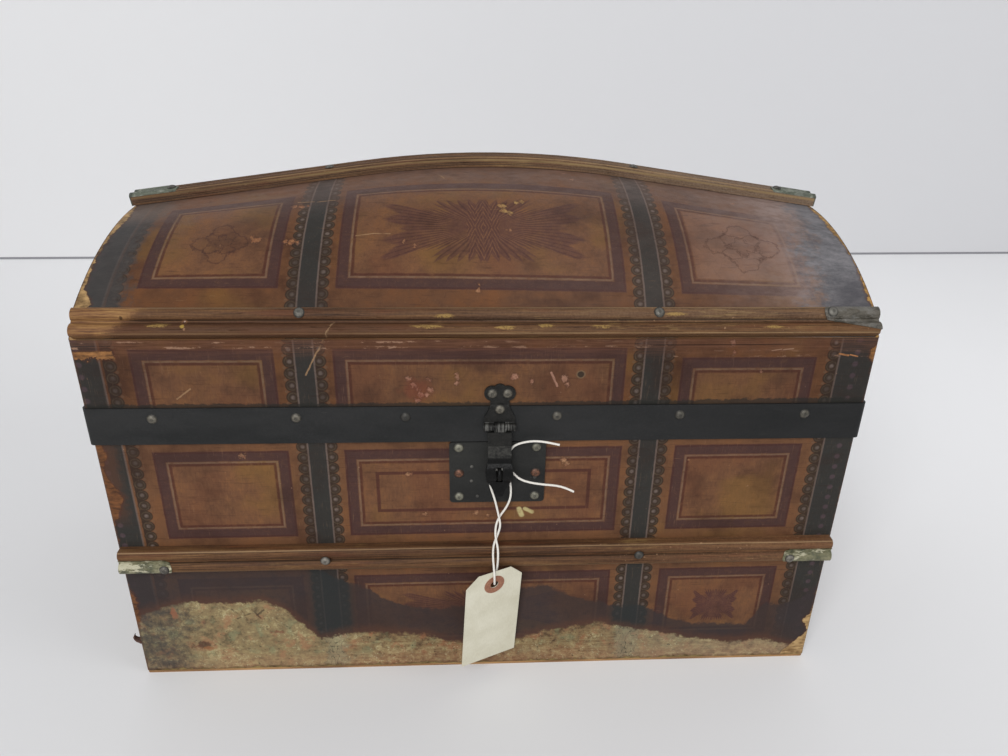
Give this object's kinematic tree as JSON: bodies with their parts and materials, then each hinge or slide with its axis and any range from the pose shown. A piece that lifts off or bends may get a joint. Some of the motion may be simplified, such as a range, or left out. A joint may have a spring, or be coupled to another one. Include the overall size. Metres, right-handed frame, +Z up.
{
  "type": "dome top trunk",
  "caption": "Small dome-top trunk covered in printed paper, with wooden slats, a sheet-metal band, a hasp and lock plate, a hinged lid that opens, and a hanging tag.",
  "frame": {"origin": "centre of the flat underside that the trunk stands on", "axes": "+X along the trunk's length, to its right seen from the front; +Y to the back, where the hinges are; +Z up"},
  "size_m": [0.4368, 0.2654, 0.2903],
  "materials": {
    "trunk_paper": "embossed printed paper, worn",
    "lining_paper": "plain paper, matt",
    "board": "bare softwood, aged",
    "slat": "varnished hardwood, worn",
    "slat_cap": "stamped tin sheet, corroded",
    "band": "black lacquered sheet, satin",
    "lock": "blackened sheet, worn",
    "nail": "domed heads, tarnished",
    "hinge": "black lacquered sheet, satin",
    "pin": "bare wire",
    "handle": "vegetable-tanned, worn",
    "handle_loop": "stamped tin sheet, dull",
    "tag": "manila card, matt",
    "tag_patch": "dyed card, matt",
    "string": "twisted cotton"
  },
  "bodies": {
    "base": {"back_board": "board", "body_cover": "trunk_paper", "body_hinge_nails": "nail", "body_lining": "lining_paper", "bottom_board": "board", "front_board": "board", "front_lower_left_cap": "slat_cap", "front_lower_right_cap": "slat_cap", "front_lower_slat": "slat", "handle_nails": "nail", "hinge_pins": "pin", "left_end_board": "board", "left_handle_loops": "handle_loop", "left_handle_strap": "handle", "left_hinge_lower_leaf": "hinge", "lock_plate": "lock", "lock_plate_nails": "nail", "lock_staple": "lock", "lower_slat_nails": "nail", "rear_lower_left_cap": "slat_cap", "rear_lower_right_cap": "slat_cap", "rear_lower_slat": "slat", "right_end_board": "board", "right_handle_loops": "handle_loop", "right_handle_strap": "handle", "right_hinge_lower_leaf": "hinge", "string_knot": "string", "tag": "tag", "tag_patch": "tag_patch", "tag_string": "string", "tag_string_lower_end": "string", "tag_string_upper_end": "string"},
    "lid": {"dome_cover": "trunk_paper", "hasp_pin": "pin", "hasp_plate": "lock", "hasp_plate_nails": "nail", "left_hinge_upper_leaf": "hinge", "lid_band": "band", "lid_band_nails": "nail", "lid_dome": "board", "lid_front_rail": "board", "lid_front_right_cap": "slat_cap", "lid_front_slat": "slat", "lid_hinge_nails": "nail", "lid_left_end": "board", "lid_lining": "lining_paper", "lid_rear_left_cap": "slat_cap", "lid_rear_rail": "board", "lid_rear_right_cap": "slat_cap", "lid_rear_slat": "slat", "lid_right_end": "board", "lid_slat_nails": "nail", "lid_top_left_cap": "slat_cap", "lid_top_right_cap": "slat_cap", "lid_top_slat": "slat", "right_hinge_upper_leaf": "hinge", "rim_cover": "trunk_paper"},
    "hasp": {"hasp_leaf": "lock"}
  },
  "joints": [
    {"name": "lid_hinge", "type": "hinge", "parent": "base", "child": "lid", "pos_m": [0, 0.119, 0.165], "axis": [-1, 0, 0], "range_deg": [0, 105]},
    {"name": "hasp_hinge", "type": "hinge", "parent": "lid", "child": "hasp", "pos_m": [0.0078, -0.1193, 0.17], "axis": [-1, 0, 0], "range_deg": [0, 150]}
  ]
}
